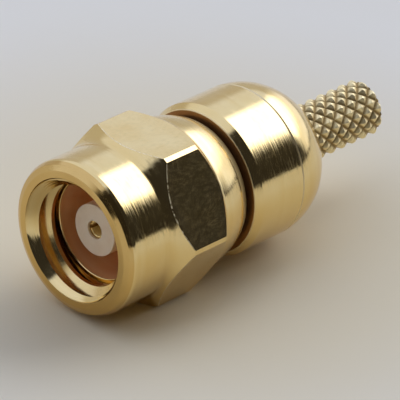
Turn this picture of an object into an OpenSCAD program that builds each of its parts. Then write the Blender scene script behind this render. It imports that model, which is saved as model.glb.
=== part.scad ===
// Miniature screw-coupled coaxial plug for crimping to thin cable.
// The turning axis lies along X, with the mating end towards +X and a hexagon flat underneath.
// The origin is the centre of the insulator's front face. Stations are lengths behind the nut's front face.

/* [Coupling nut] */
// Diameter of the plain barrel in front of the hexagon
barrel_d = 6.14; // [5.9:0.01:6.3]
// Length of the barrel, from the front face to the fillet behind it
barrel_len = 2.05; // [1.6:0.01:2.6]
// Radius of the fillet between the barrel and the hexagon's cone
barrel_fillet = 0.64; // [0.4:0.01:0.9]
// Hexagon across its flats
hex_af = 6.35; // [6.32:0.01:6.8]
// Length of the hexagon at its full corners
hex_len = 1.65; // [1.2:0.01:2.4]
// How much the bar's round skin takes off each corner
corner_trim = 0.055; // [0.02:0.005:0.12]
// Slope of the cones at both ends of the hexagon, from the axis
cone_deg = 45; // [38:1:52]
// Diameter where the crown begins, the rounded end behind the hexagon
crown_d = 6.24; // [6:0.01:6.3]
// Radius of the fillet between the rear cone and the crown
crown_fillet = 0.4; // [0.2:0.01:0.5]
// Slope of the crown where it begins, from the axis
crown_lead_deg = 8; // [4:1:12]
// Radius of the crown's bulging side
crown_curve = 5.4; // [4.6:0.05:6.2]
// Slope of the crown where it ends, from the axis
crown_deg = 20; // [17:1:23]
// Radius of the rounder rear edge behind the crown
crown_edge = 1.3; // [1:0.05:1.6]
// How much steeper that edge begins than the crown ends
crown_crease_deg = 4; // [3:0.5:6]
// Length of the crown's rear edge
crown_edge_len = 0.29; // [0.2:0.01:0.4]
// Height of the bevel on the front face's outer edge
bevel_rise = 0.35; // [0.2:0.01:0.4]
// Least flat left on the front face between the mouth and that bevel
rim_land = 0.06; // [0.03:0.01:0.15]
// Length of that bevel
bevel_run = 0.26; // [0.15:0.01:0.4]

/* [Nut bore] */
// Diameter of the countersunk mouth at the front face
mouth_d = 5.1; // [4.8:0.01:5.3]
// Depth of the countersink
mouth_depth = 0.43; // [0.3:0.01:0.6]
// Crest diameter of the coupling thread
thread_d = 4.1; // [4:0.01:4.3]
// Length of the threaded stretch
thread_len = 0.77; // [0.6:0.01:1.2]
// Diameter of the relief behind the thread
relief_d = 4.9; // [4.7:0.01:5.1]
// Length of the relief, as far as the lock ring's groove
relief_len = 2.35; // [2:0.01:2.8]
// Running clearance of the nut on the body's tube, on the radius
nut_clear = 0.05; // [0.03:0.01:0.1]
// Free travel of the nut along the tube
nut_float = 0.3; // [0.1:0.01:0.4]

/* [Lock ring] */
// Thickness along the axis
ring_t = 0.4; // [0.25:0.01:0.5]
// Depth of its groove in the tube
ring_seat = 0.32; // [0.25:0.01:0.4]
// Height of the ring above the tube
ring_rise = 0.44; // [0.36:0.01:0.5]
// Opening of the split ring
ring_split_deg = 36; // [20:1:60]
// Clearance inside, outside and beside the ring
ring_clear = 0.03; // [0.02:0.005:0.05]

/* [Body] */
// Outer diameter of the tube that carries the nut
tube_d = 4.36; // [4.3:0.01:4.5]
// Wall of the outer contact, the front of that tube
sleeve_wall = 0.22; // [0.16:0.01:0.3]
// Gap from the thread's end to the outer contact's rim
sleeve_gap = 0.1; // [0.05:0.01:0.3]
// Web between the cavity's floor and the lock ring's groove
cavity_web = 0.27; // [0.2:0.01:0.5]
// Gap from the nut's rear end to the body's shoulder
nut_gap = 0.2; // [0.15:0.01:0.6]
// Diameter of the body and of the crimp stem's flange
body_d = 6.14; // [5.9:0.01:6.4]
// Length of the body, from the shoulder to the seam
body_len = 2.55; // [2.3:0.01:3.2]
// Height of the chamfer on the shoulder
shoulder_rise = 0.24; // [0.18:0.01:0.4]
// Length of that chamfer
shoulder_run = 0.36; // [0.25:0.01:0.6]
// Web between the shoulder and the rear counterbore
body_web = 0.27; // [0.2:0.01:0.5]
// Broken edge on each side of the seam
seam_edge = 0.05; // [0.03:0.01:0.12]

/* [Insulator] */
// Diameter of the spigot in the mating cavity
spigot_d = 2.06; // [1.96:0.01:2.16]
// How far the spigot stands out past the outer contact's rim
spigot_proud = 0.1; // [0.02:0.01:0.2]
// Diameter of the shank pressed in the body
shank_d = 2.6; // [2.5:0.01:2.9]
// Diameter of the bead in the rear counterbore
bead_d = 4.3; // [4:0.01:4.5]
// Thickness of the bead
bead_len = 0.5; // [0.35:0.01:0.7]
// Diameter of the pin's entry in the front face
entry_d = 0.72; // [0.62:0.01:0.84]
// Length of the entry
entry_len = 0.12; // [0.08:0.01:0.5]

/* [Centre contact] */
// Outer diameter of the socket
contact_d = 1.04; // [0.96:0.01:1.16]
// Bore for the mating pin
socket_d = 0.54; // [0.5:0.01:0.58]
// Depth of that bore
socket_len = 2.6; // [2.2:0.05:3.2]
// Width of the slot that makes the two spring tines
slot_w = 0.14; // [0.08:0.01:0.16]
// Length of the slot
slot_len = 2.2; // [1.4:0.05:2.2]
// Diameter of the collar behind the bead
stop_d = 1.5; // [1.3:0.01:1.7]
// Thickness of the collar
stop_len = 0.35; // [0.2:0.01:0.5]
// Length of the solder cup behind the collar
cup_len = 1.3; // [0.9:0.05:1.6]
// Bore of the solder cup
cup_d = 0.6; // [0.5:0.01:0.7]

/* [Crimp stem] */
// Radius of the flange's domed side
dome_r = 2.62; // [2.5:0.01:3.2]
// Length of the dome, from the seam to its flat rear face
dome_len = 2.36; // [2:0.01:2.45]
// Diameter over the knurl
stem_d = 2.28; // [2.2:0.01:2.5]
// Length of the knurled stem
stem_len = 4.25; // [3.5:0.05:6]
// Bore for the cable's core
cable_d = 1.58; // [1.4:0.01:1.62]
// Bore round the solder cup
chamber_d = 2.3; // [2.2:0.01:2.6]
// Clearance behind the solder cup
chamber_gap = 0.3; // [0.1:0.01:0.6]
// Bevel on the stem's rear end
stem_edge = 0.08; // [0.04:0.01:0.12]

/* [Knurl] */
// Ridges in each direction round the stem
knurl_starts = 11; // [9:1:14]
// Length of one diamond along the stem
knurl_pitch = 0.605; // [0.45:0.005:0.8]
// Turn of the whole pattern round the stem
knurl_turn = 7; // [0:1:32]
// Depth of the grooves
knurl_depth = 0.13; // [0.06:0.01:0.15]
// Share of each diamond left as its top
knurl_land = 0.38; // [0.2:0.02:0.6]

/* [Hidden] */
$fn = 96;
cut = 0.1;
gold = [0.80, 0.66, 0.36];

barrel_r = barrel_d / 2;
face_r = max(barrel_r - bevel_rise, mouth_d / 2 + rim_land);
crown_r = crown_d / 2;
hex_r = hex_af / 2 / cos(30);
corner_r = hex_r - corner_trim;
tube_r = tube_d / 2;
body_r = body_d / 2;
stem_r = stem_d / 2;

// Where the cones meet their fillets, and the centres of the crown's fillet, side and rear edge
foot_r = barrel_r + barrel_fillet * (1 - cos(cone_deg));
foot_s = barrel_len + barrel_fillet * sin(cone_deg);
hex_s = foot_s + (corner_r - foot_r) / tan(cone_deg);
hex_end_s = hex_s + hex_len;
heel_r = crown_r + crown_fillet * (cos(crown_lead_deg) - cos(cone_deg));
heel_s = hex_end_s + (corner_r - heel_r) / tan(cone_deg);
hollow_r = heel_r + crown_fillet * cos(cone_deg);
hollow_s = heel_s + crown_fillet * sin(cone_deg);
crown_s = hollow_s - crown_fillet * sin(crown_lead_deg);
crown_mid_r = crown_r - crown_curve * cos(crown_lead_deg);
crown_mid_s = crown_s - crown_curve * sin(crown_lead_deg);
crease_r = crown_mid_r + crown_curve * cos(crown_deg);
crease_s = crown_mid_s + crown_curve * sin(crown_deg);
rim_r = crease_r - crown_edge * cos(crown_deg + crown_crease_deg);
rim_s = crease_s - crown_edge * sin(crown_deg + crown_crease_deg);
nut_len = crease_s + crown_edge_len;

thread_s = mouth_depth + thread_len;
groove_s = thread_s + relief_len;
seat_len = ring_t + 2 * ring_clear;
groove_len = seat_len + nut_float;
seat_r = tube_r - ring_seat;
ring_in_r = seat_r + ring_clear;
ring_out_r = tube_r + ring_rise;
groove_r = ring_out_r + ring_clear;

sleeve_s = thread_s + sleeve_gap;
spigot_s = sleeve_s - spigot_proud;
cavity_r = tube_r - sleeve_wall;
floor_s = groove_s - cavity_web;
shoulder_s = nut_len + nut_gap;
seam_s = shoulder_s + body_len;
bead_s = shoulder_s + body_web;
nose_s = bead_s + bead_len;
dome_s = seam_s + dome_len;
end_s = dome_s + stem_len;

contact_s = spigot_s + entry_len;
cup_s = nose_s + stop_len;
chamber_s = cup_s + cup_len + chamber_gap;

knurl_step = 360 / knurl_starts;
knurl_half = knurl_pitch / 2;
knurl_root_r = stem_r - knurl_depth;
knurl_rows = ceil((stem_len + 2 * knurl_pitch) / knurl_half);
knurl_s = dome_s - 0.63 * knurl_pitch;

// Position on the X axis of a station behind the nut's front face
function x_at(s) = spigot_s - s;

// Revolves an outline of [radius, station] points about the X axis
module turned(outline) {
    rotate([0, 90, 0]) rotate_extrude() polygon([for (p = outline) [p[0], x_at(p[1])]]);
}

// Straight bore between two stations
module bored(r, from_s, to_s) {
    translate([x_at(to_s), 0, 0]) rotate([0, 90, 0]) cylinder(r = r, h = to_s - from_s);
}

// Conical bore between two stations
module countersunk(from_r, to_r, from_s, to_s) {
    translate([x_at(to_s), 0, 0]) rotate([0, 90, 0]) cylinder(r1 = to_r, r2 = from_r, h = to_s - from_s);
}

// Straight-sided piece of a half section through [radius, station] points
module stretch(outline) {
    polygon([for (p = outline) [p[0], x_at(p[1])]]);
}

// Disc in a half section, centred at a radius and a station
module corner(at_r, at_s, r) {
    translate([at_r, x_at(at_s)]) circle(r = r);
}

// What a rounded corner takes off: the wedge between two angles outside such a disc
module waste(at_r, at_s, r, from_deg, to_deg) {
    difference() {
        stretch(concat([[at_r, at_s]], [for (a = [from_deg, to_deg])
            [at_r + 3 * r * cos(a), at_s + 3 * r * sin(a)]]));
        corner(at_r, at_s, r);
    }
}

// Half section of the nut's outside: bevelled front, barrel, fillet, cones, fillet and crown
module nut_section() {
    difference() {
        stretch([
            [0, 0], [face_r, 0], [barrel_r, bevel_run], [barrel_r, barrel_len], [foot_r, foot_s],
            [corner_r, hex_s], [corner_r, hex_end_s], [heel_r, heel_s], [crown_r, crown_s], [crown_r, nut_len],
            [0, nut_len]
        ]);
        corner(barrel_r + barrel_fillet, barrel_len, barrel_fillet);
        corner(hollow_r, hollow_s, crown_fillet);
        waste(crown_mid_r, crown_mid_s, crown_curve, crown_lead_deg, 60);
        waste(rim_r, rim_s, crown_edge, crown_deg - crown_crease_deg / 4, 60);
    }
}

// Outside of the nut as turned from hexagon bar
module nut_blank() {
    intersection() {
        rotate([0, 90, 0]) rotate_extrude() nut_section();
        translate([x_at(nut_len), 0, 0]) rotate([0, 90, 0]) rotate([0, 0, 30])
            cylinder(r = hex_r, h = nut_len, $fn = 6);
    }
}

module coupling_nut() {
    color(gold) difference() {
        nut_blank();
        bored(tube_r + nut_clear, groove_s, nut_len + cut);
        bored(groove_r, groove_s, groove_s + groove_len);
        bored(relief_d / 2, thread_s, groove_s + cut);
        bored(thread_d / 2, -cut, thread_s + cut);
        countersunk(mouth_d / 2, thread_d / 2, 0, mouth_depth);
    }
}

// Split ring that sits in the tube's groove and keeps the nut on the body
module lock_ring() {
    ring_s = groove_s + ring_clear;
    color("peru") translate([x_at(ring_s + ring_t), 0, 0]) rotate([0, 90, 0])
        rotate([0, 0, ring_split_deg / 2]) rotate_extrude(angle = 360 - ring_split_deg)
            translate([ring_in_r, 0]) square([ring_out_r - ring_in_r, ring_t]);
}

module main_body() {
    color(gold) difference() {
        turned([
            [0, sleeve_s], [tube_r, sleeve_s],
            [tube_r, groove_s], [seat_r, groove_s], [seat_r, groove_s + seat_len], [tube_r, groove_s + seat_len],
            [tube_r, shoulder_s], [body_r - shoulder_rise, shoulder_s], [body_r, shoulder_s + shoulder_run],
            [body_r, seam_s - seam_edge], [body_r - seam_edge, seam_s], [0, seam_s]
        ]);
        bored(cavity_r, sleeve_s - cut, floor_s);
        bored(shank_d / 2, floor_s - cut, bead_s + cut);
        bored(bead_d / 2, bead_s, seam_s + cut);
    }
}

module insulator() {
    color("whitesmoke") difference() {
        turned([
            [0, spigot_s], [spigot_d / 2, spigot_s], [spigot_d / 2, floor_s],
            [shank_d / 2, floor_s], [shank_d / 2, bead_s], [bead_d / 2, bead_s], [bead_d / 2, nose_s], [0, nose_s]
        ]);
        bored(entry_d / 2, spigot_s - cut, contact_s + cut);
        bored(contact_d / 2, contact_s, nose_s + cut);
    }
}

module centre_contact() {
    color("gold") difference() {
        turned([
            [0, contact_s], [contact_d / 2, contact_s], [contact_d / 2, nose_s],
            [stop_d / 2, nose_s], [stop_d / 2, cup_s], [contact_d / 2, cup_s],
            [contact_d / 2, cup_s + cup_len], [0, cup_s + cup_len]
        ]);
        bored(socket_d / 2, contact_s - cut, contact_s + socket_len);
        bored(cup_d / 2, cup_s, cup_s + cup_len + cut);
        translate([x_at(contact_s + slot_len), -contact_d, -slot_w / 2])
            cube([slot_len + cut, 2 * contact_d, slot_w]);
    }
}

// Corner of the knurl's groove net: row j behind knurl_s, place i round the stem
function net_point(j, i) =
    let (a = knurl_turn + (i + 0.5 + (j % 2) / 2) * knurl_step)
    [x_at(knurl_s + j * knurl_half), knurl_root_r * cos(a), knurl_root_r * sin(a)];

// Corner k of the top of diamond i in row j: left, front, right, rear
function top_point(j, i, k) =
    let (a = knurl_turn + (i + (j % 2) / 2 + [-1, 0, 1, 0][k] * knurl_land / 2) * knurl_step,
         s = knurl_s + (j + [0, -1, 0, 1][k] * knurl_land) * knurl_half)
    [x_at(s), stem_r * cos(a), stem_r * sin(a)];

// Index of a net point, in rows 0 to knurl_rows + 1, and of a top point of rows 1 to knurl_rows
function net_index(j, i) = j * knurl_starts + (i + knurl_starts) % knurl_starts;
function top_index(j, i, k) = (knurl_rows + 2) * knurl_starts + ((j - 1) * knurl_starts + i) * 4 + k;

// The four net corners round diamond i of row j, clockwise from outside: left, front, right, rear
function net_corners(j, i) =
    let (m = i - 1 + j % 2)
    [net_index(j, i - 1), net_index(j - 1, m), net_index(j, i), net_index(j + 1, m)];

// Faces of one flat-topped diamond: a top in two triangles and four sloping sides
function diamond_faces(j, i) =
    let (n = net_corners(j, i), t = [for (k = [0:3]) top_index(j, i, k)])
    concat(
        [[t[0], t[1], t[3]], [t[1], t[2], t[3]]],
        [for (k = [0:3]) each let (q = (k + 1) % 4) [[n[k], n[q], t[q]], [n[k], t[q], t[k]]]]
    );

// Solid plug with the crossed knurl all round it and plain caps at both ends
module knurled_plug() {
    centre = (knurl_rows + 2) * knurl_starts + knurl_rows * knurl_starts * 4;
    points = concat(
        [for (j = [0:knurl_rows + 1], i = [0:knurl_starts - 1]) net_point(j, i)],
        [for (j = [1:knurl_rows], i = [0:knurl_starts - 1], k = [0:3]) top_point(j, i, k)],
        [[x_at(knurl_s), 0, 0], [x_at(knurl_s + (knurl_rows + 1) * knurl_half), 0, 0]]
    );
    faces = concat(
        [for (j = [1:knurl_rows], i = [0:knurl_starts - 1]) each diamond_faces(j, i)],
        [for (i = [0:knurl_starts - 1]) each let (n = net_corners(1, i))
            [[n[1], n[0], centre], [n[2], n[1], centre]]],
        [for (i = [0:knurl_starts - 1]) each let (n = net_corners(knurl_rows, i))
            [[n[3], n[2], centre + 1], [n[0], n[3], centre + 1]]]
    );
    polyhedron(points, faces);
}

// Flange with a domed rear side
module domed_flange() {
    rotate([0, 90, 0]) rotate_extrude() intersection() {
        translate([body_r - dome_r, x_at(seam_s)]) circle(r = dome_r);
        polygon([
            [0, x_at(seam_s)], [body_r - seam_edge, x_at(seam_s)], [body_r, x_at(seam_s + seam_edge)],
            [body_r, x_at(dome_s)], [0, x_at(dome_s)]
        ]);
    }
}

module crimp_stem() {
    color(gold) difference() {
        union() {
            bored(bead_d / 2, nose_s, seam_s + seam_edge);
            domed_flange();
            intersection() {
                knurled_plug();
                turned([
                    [0, dome_s - knurl_half], [stem_r + cut, dome_s - knurl_half],
                    [stem_r + cut, end_s - stem_edge - cut], [stem_r - stem_edge, end_s], [0, end_s]
                ]);
            }
        }
        bored(chamber_d / 2, nose_s - cut, chamber_s);
        bored(cable_d / 2, chamber_s - cut, end_s + cut);
    }
}

coupling_nut();
lock_ring();
main_body();
insulator();
centre_contact();
crimp_stem();
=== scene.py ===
"""Looks of a small gold-plated coaxial plug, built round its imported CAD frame.

Sizes in the classes are millimetres, and stations run along the turning axis, behind the
coupling nut's front face. A piece is shaped in millimetres and brought to metres when it is done.
"""

import logging
import math
from collections.abc import Callable, Iterator, Sequence
from contextlib import contextmanager
from dataclasses import dataclass
from enum import Enum, IntEnum
from typing import Any, Self

import bmesh
import bpy
from mathutils import Matrix, Vector

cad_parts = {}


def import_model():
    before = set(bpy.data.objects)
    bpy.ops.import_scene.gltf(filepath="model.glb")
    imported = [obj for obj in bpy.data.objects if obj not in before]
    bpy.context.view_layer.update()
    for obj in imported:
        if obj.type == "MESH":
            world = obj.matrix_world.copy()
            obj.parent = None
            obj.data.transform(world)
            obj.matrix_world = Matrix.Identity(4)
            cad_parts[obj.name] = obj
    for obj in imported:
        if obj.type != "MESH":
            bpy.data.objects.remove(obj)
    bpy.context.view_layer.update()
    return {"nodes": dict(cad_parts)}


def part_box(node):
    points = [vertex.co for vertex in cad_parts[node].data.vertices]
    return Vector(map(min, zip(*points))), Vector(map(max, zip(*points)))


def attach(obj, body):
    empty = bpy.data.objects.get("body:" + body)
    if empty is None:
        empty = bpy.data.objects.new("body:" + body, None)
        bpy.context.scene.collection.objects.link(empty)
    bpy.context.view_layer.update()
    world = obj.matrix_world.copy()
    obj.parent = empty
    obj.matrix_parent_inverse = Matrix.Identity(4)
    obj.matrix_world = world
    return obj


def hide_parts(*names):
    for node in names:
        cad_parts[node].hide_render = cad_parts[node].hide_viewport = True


LOG = logging.getLogger("plug")
MM = 0.001
# Faces round a turned piece
NUT_SIDES = 288
BODY_SIDES = 240
RESIN_SIDES = 144
BORE_SIDES = 96
# A flat of the hexagon is known by its direction, and by its area in square millimetres
FLAT_COSINE = 0.9999
FLAT_AREA = 0.2
# How far a cutter runs on past what it cuts, in millimetres
OVERCUT = 0.1
Colour = tuple[float, float, float, float]
Span = tuple[float, float]


class Body(Enum):
    """Moving bodies that carry the new pieces."""

    PLUG = "plug"
    NUT = "nut"


class Slot(Enum):
    """Material slots of the new pieces."""

    GOLD = "gold_plate"
    RESIN = "ptfe"


class Join(Enum):
    """Ways in which one solid acts on another."""

    ADD = "UNION"
    CUT = "DIFFERENCE"
    COMMON = "INTERSECT"


class Pick(Enum):
    """What is selected in edit mode."""

    FACES = "FACE"
    EDGES = "EDGE"


class NutCoat(IntEnum):
    """Places of the nut's finishes."""

    TURNED = 0
    DRAWN = 1
    REAMED = 2
    EDGE = 3
    FACED = 4
    DIM = 5
    TAIL = 6


class BodyCoat(IntEnum):
    """Places of the body's finishes."""

    TURNED = 0
    FLOOR = 1
    WALL = 2
    DIM = 3
    WORN = 4


class StemCoat(IntEnum):
    """Places of the stem's finishes."""

    TURNED = 0
    ROLLED = 1
    WORN = 2


class ContactCoat(IntEnum):
    """Places of the contact's finishes."""

    TURNED = 0
    SOCKET = 1


@dataclass(frozen=True)
class Layout:
    """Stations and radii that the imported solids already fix.

    Attributes:
        front_x: Place of the nut's front face on the X axis.
        nut_end: Station of the nut's rear end.
        sleeve: Station of the outer contact's rim.
        seam: Station of the seam between body and stem.
        spigot: Station of the insulator's front face.
        nose: Station of the stem's nose, against the bead.
        contact: Station of the centre contact's mouth.
        cup_end: Station of the solder cup's rim.
        tail: Station of the stem's rear end.
        flat: Half of the hexagon across its flats.
        body_r: Radius of the body.
    """

    front_x: float
    nut_end: float
    sleeve: float
    seam: float
    spigot: float
    nose: float
    contact: float
    cup_end: float
    tail: float
    flat: float
    body_r: float

    @classmethod
    def from_frame(cls) -> Self:
        """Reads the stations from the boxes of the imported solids.

        Returns:
            The layout of this model.
        """
        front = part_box("coupling_nut")[1].x

        def ends(node: str) -> tuple[float, float]:
            """Gives the front and rear stations of a node."""
            low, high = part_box(node)
            return (front - high.x) / MM, (front - low.x) / MM

        return cls(
            front_x=front / MM,
            nut_end=ends("coupling_nut")[1],
            sleeve=ends("main_body")[0],
            seam=ends("main_body")[1],
            spigot=ends("insulator")[0],
            nose=ends("insulator")[1],
            contact=ends("centre_contact")[0],
            cup_end=ends("centre_contact")[1],
            tail=ends("crimp_stem")[1],
            flat=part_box("coupling_nut")[1].z / MM,
            body_r=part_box("main_body")[1].y / MM,
        )

    def x(self, station: float) -> float:
        """Gives the place on the X axis of a station."""
        return self.front_x - station


@dataclass(frozen=True)
class Corner:
    """One corner of a turned outline.

    Attributes:
        station: Distance behind the nut's front face.
        radius: Distance from the axis.
        soften: Radius that breaks the corner.
    """

    station: float
    radius: float
    soften: float = 0.0


@dataclass(frozen=True)
class Outline:
    """Half section of a turned piece.

    Attributes:
        corners: The corners in order.
        closed: True for a ring, False for a section that starts and ends on the axis.
        arc_step: Largest turn between two points of a softened corner, in degrees.
    """

    corners: Sequence[Corner]
    closed: bool = True
    arc_step: float = 16.0

    @staticmethod
    def sweep(middle: Corner, reach: float, first: float, last: float, steps: int) -> list[Corner]:
        """Gives corners along an arc of the section.

        Args:
            middle: Centre of the arc.
            reach: Radius of the arc, negative for a hollow one.
            first: Angle of the first corner, from straight out towards the rear, in degrees.
            last: Angle of the last corner.
            steps: Sides of the arc.

        Returns:
            The corners in order.
        """
        angles = [math.radians(first + (last - first) * k / steps) for k in range(steps + 1)]
        return [
            Corner(middle.station + reach * math.sin(a), middle.radius + reach * math.cos(a)) for a in angles
        ]

    def path(self, layout: Layout) -> list[Vector]:
        """Lays the section out in the XZ plane, with its corners softened.

        Args:
            layout: Stations of the model.

        Returns:
            Points of the section, in millimetres.
        """
        points = [Vector((layout.x(c.station), 0.0, c.radius)) for c in self.corners]
        count = len(points)
        laid: list[Vector] = []
        for i, corner in enumerate(self.corners):
            at = points[i]
            inner = self.closed or 0 < i < count - 1
            if not inner or corner.soften <= 0.0:
                laid.append(at)
                continue
            laid.extend(self._arc(points[i - 1], at, points[(i + 1) % count], corner.soften))
        return laid

    def _arc(self, before: Vector, at: Vector, after: Vector, soften: float) -> list[Vector]:
        """Replaces one corner by an arc.

        Args:
            before: The corner before.
            at: The corner itself.
            after: The corner after.
            soften: Radius of the arc.

        Returns:
            Points of the arc, from the first side to the second.
        """
        to_before, to_after = before - at, after - at
        half = to_before.angle(to_after) / 2
        room = 0.48 * min(to_before.length, to_after.length)
        run = min(soften / math.tan(half), room)
        radius = run * math.tan(half)
        u, v = to_before.normalized(), to_after.normalized()
        centre = at + (u + v).normalized() * (radius / math.sin(half))
        start, end = at + u * run - centre, at + v * run - centre
        steps = max(2, math.ceil(math.degrees(math.pi - 2 * half) / self.arc_step))
        return [centre + start.slerp(end, k / steps).normalized() * radius for k in range(steps + 1)]


class Workpiece:
    """One mesh on the bench, shaped with edit-mode operators in millimetres."""

    def __init__(self, obj: bpy.types.Object) -> None:
        """Takes an object onto the bench."""
        self.obj = obj

    @classmethod
    def plane(cls, name: str, size: float, turn: float = 0.0) -> Self:
        """Starts from a flat square at the origin.

        Args:
            name: Name of the piece.
            size: Side of the square.
            turn: Angle about Z, in radians.

        Returns:
            The new piece.
        """
        bpy.ops.object.select_all(action="DESELECT")
        bpy.ops.mesh.primitive_plane_add(size=size, rotation=(0.0, 0.0, turn))
        bpy.ops.object.transform_apply(location=True, rotation=True, scale=True)
        return cls._named(name)

    @classmethod
    def block(cls, name: str, low: Sequence[float], high: Sequence[float]) -> Self:
        """Starts from a box between two corners.

        Args:
            name: Name of the piece.
            low: Lowest corner.
            high: Highest corner.

        Returns:
            The new piece.
        """
        middle = [(a + b) / 2 for a, b in zip(low, high)]
        size = [b - a for a, b in zip(low, high)]
        bpy.ops.object.select_all(action="DESELECT")
        bpy.ops.mesh.primitive_cube_add(size=1.0, location=middle, scale=size)
        bpy.ops.object.transform_apply(location=True, rotation=True, scale=True)
        return cls._named(name)

    @classmethod
    def wire(cls, name: str, path: Sequence[Vector], closed: bool) -> Self:
        """Draws a line through points, one extruded vertex after another.

        Args:
            name: Name of the piece.
            path: The points.
            closed: Whether the line returns to its first point.

        Returns:
            The new piece.
        """
        piece = cls.plane(name, 1.0)
        with piece.editing():
            bpy.ops.mesh.select_mode(type="VERT")
            bpy.ops.mesh.select_all(action="SELECT")
            bpy.ops.mesh.merge(type="CENTER")
            bpy.ops.transform.translate(value=path[0])
            stops = list(path[1:]) + ([path[0]] if closed else [])
            for before, after in zip(path, stops):
                bpy.ops.mesh.extrude_vertices_move(TRANSFORM_OT_translate={"value": after - before})
            piece.merge(1e-5)
        return piece

    @classmethod
    def turned(cls, name: str, outline: Outline, layout: Layout, sides: int = BODY_SIDES) -> Self:
        """Turns an outline about the X axis.

        Args:
            name: Name of the piece.
            outline: Half section.
            layout: Stations of the model.
            sides: Faces round the axis.

        Returns:
            The new closed piece.
        """
        piece = cls.wire(name, outline.path(layout), outline.closed)
        with piece.editing():
            bpy.ops.mesh.select_all(action="SELECT")
            bpy.ops.mesh.spin(steps=sides, angle=math.tau, center=(0.0, 0.0, 0.0), axis=(1.0, 0.0, 0.0))
            piece.merge(2e-5)
            bpy.ops.mesh.normals_make_consistent(inside=False)
        return piece

    @classmethod
    def _named(cls, name: str) -> Self:
        """Names the active object and wraps it."""
        obj = bpy.context.active_object
        obj.name = name
        obj.data.name = name
        return cls(obj)

    def activate(self) -> None:
        """Selects this piece alone."""
        bpy.ops.object.select_all(action="DESELECT")
        self.obj.select_set(True)
        bpy.context.view_layer.objects.active = self.obj

    @contextmanager
    def editing(self) -> Iterator[None]:
        """Holds the piece in edit mode."""
        self.activate()
        bpy.ops.object.mode_set(mode="EDIT")
        try:
            yield
        finally:
            bpy.ops.object.mode_set(mode="OBJECT")

    def merge(self, distance: float) -> None:
        """Merges vertices that lie on each other."""
        bpy.ops.mesh.select_all(action="SELECT")
        bpy.ops.mesh.remove_doubles(threshold=distance)

    def pick(self, kind: Pick, test: Callable[[Any], bool]) -> int:
        """Selects the faces or edges that pass a test, in edit mode.

        Args:
            kind: Faces or edges.
            test: Says whether one of them is wanted.

        Returns:
            How many were selected.
        """
        bpy.ops.mesh.select_mode(type=kind.value)
        bpy.ops.mesh.select_all(action="DESELECT")
        sheet = bmesh.from_edit_mesh(self.obj.data)
        parts = sheet.faces if kind is Pick.FACES else sheet.edges
        found = [part for part in parts if test(part)]
        for part in found:
            part.select_set(True)
        sheet.select_flush_mode()
        bmesh.update_edit_mesh(self.obj.data)
        return len(found)

    def trim(self, point: Vector, normal: Vector) -> None:
        """Cuts away what lies past a plane and closes the cut, in edit mode.

        Args:
            point: A point of the plane.
            normal: Direction of the side that goes.
        """
        bpy.ops.mesh.select_all(action="SELECT")
        bpy.ops.mesh.bisect(
            plane_co=point, plane_no=normal, use_fill=True, clear_outer=True, threshold=1e-5
        )

    def array(self, count: int, step: Vector) -> None:
        """Repeats the piece along a straight line and merges what touches.

        Args:
            count: How many in all.
            step: From one to the next.
        """
        row = self.obj.modifiers.new("row", "ARRAY")
        row.count = count
        row.use_relative_offset = False
        row.use_constant_offset = True
        row.constant_offset_displace = step
        row.use_merge_vertices = True
        row.merge_threshold = 1e-4
        self.apply(row)

    def combine(self, tool: "Workpiece", how: Join) -> None:
        """Lets a second solid act on this one, and uses it up.

        Args:
            tool: The second solid.
            how: What it does.
        """
        cut = self.obj.modifiers.new("cut", "BOOLEAN")
        cut.operation = how.value
        cut.solver = "EXACT"
        cut.object = tool.obj
        self.apply(cut)
        tool.discard()

    def apply(self, modifier: bpy.types.Modifier) -> None:
        """Applies a modifier of this piece."""
        self.activate()
        bpy.ops.object.modifier_apply(modifier=modifier.name)

    def discard(self) -> None:
        """Takes the piece off the bench for good."""
        mesh = self.obj.data
        bpy.data.objects.remove(self.obj)
        bpy.data.meshes.remove(mesh)

    def wrap(self, radius: float) -> None:
        """Rolls flat work round the X axis: Y becomes an arc at a radius, and Z the radius itself."""
        for vertex in self.obj.data.vertices:
            angle, reach = vertex.co.y / radius, vertex.co.z
            vertex.co.y, vertex.co.z = reach * math.cos(angle), reach * math.sin(angle)

    def complete(self, smooth_deg: float = 34.0) -> None:
        """Shades the piece smooth up to an angle and brings it to metres.

        Args:
            smooth_deg: Edges sharper than this stay sharp.
        """
        self.activate()
        bpy.ops.object.shade_smooth_by_angle(angle=math.radians(smooth_deg))
        facing = self.obj.modifiers.new("facing", "WEIGHTED_NORMAL")
        facing.keep_sharp = True
        facing.weight = 100
        self.apply(facing)
        bpy.ops.transform.resize(value=(MM, MM, MM), center_override=(0.0, 0.0, 0.0))
        bpy.ops.object.transform_apply(location=True, rotation=True, scale=True)
        LOG.info("%s: %d faces", self.obj.name, len(self.obj.data.polygons))

    def coat(self, *finishes: "Finish") -> None:
        """Gives the piece its finishes, in the order of their places."""
        for finish in finishes:
            self.obj.data.materials.append(finish.material())

    def paint(self, layout: Layout, rule: Callable[[bpy.types.MeshPolygon, float, float], int]) -> None:
        """Gives each face of the finished piece one of its finishes.

        Args:
            layout: Stations of the model.
            rule: Takes a face, its station and its radius, and gives the finish's place.
        """
        for face in self.obj.data.polygons:
            reach = math.hypot(face.center.y, face.center.z) / MM
            face.material_index = int(rule(face, layout.front_x - face.center.x / MM, reach))

    def fit(self, body: Body, slot: Slot, *nodes: str) -> None:
        """Puts the finished piece in the frame.

        Args:
            body: Body that carries it.
            slot: Material slot of the record; not used.
            nodes: Solids that it stands for.
        """
        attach(self.obj, body.value)
        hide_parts(*nodes)


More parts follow.
